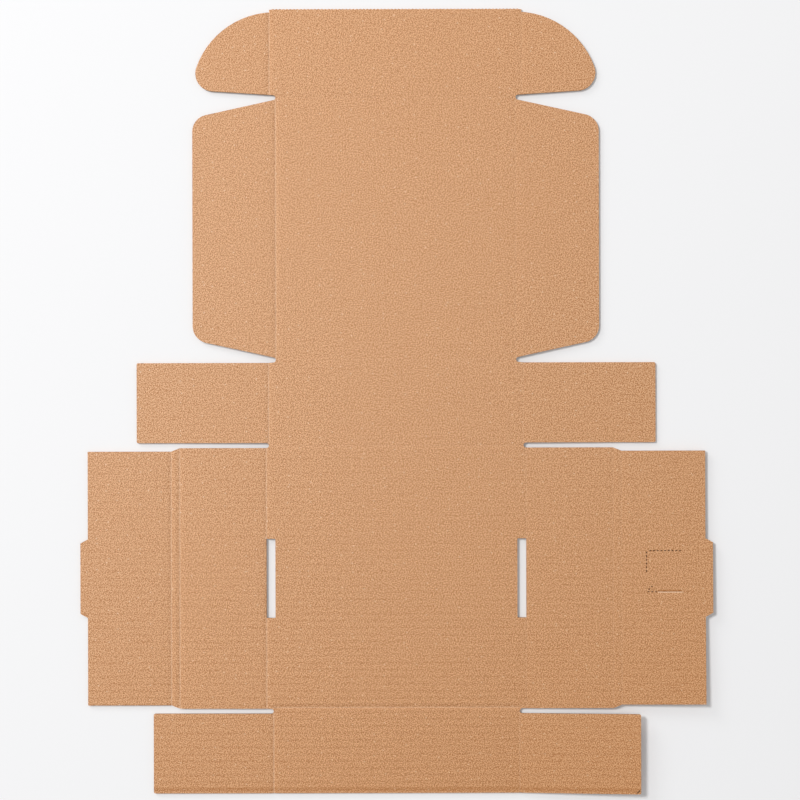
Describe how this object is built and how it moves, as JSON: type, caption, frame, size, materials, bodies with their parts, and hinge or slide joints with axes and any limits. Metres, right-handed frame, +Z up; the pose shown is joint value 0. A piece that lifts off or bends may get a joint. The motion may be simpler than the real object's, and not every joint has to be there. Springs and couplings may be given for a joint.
{
  "type": "flattened cardboard box",
  "caption": "Flat die-cut blank of a self-locking mailing box in fine-flute kraft board, with tuck flap, lid, walls, wings, lock tabs and lock slots, creased ready to fold.",
  "frame": {"origin": "middle of the sheet's bounding rectangle, on the underside that lies on the table", "axes": "+Z up out of the creased face, +Y towards the tuck flap, +X to the right along the flutes"},
  "size_m": [0.297, 0.3684, 0.0075],
  "materials": {
    "kraft_board": "matte brown kraft liner with faint flute lines"
  },
  "bodies": {
    "root": {"box_blank": "kraft_board"}
  },
  "joints": []
}
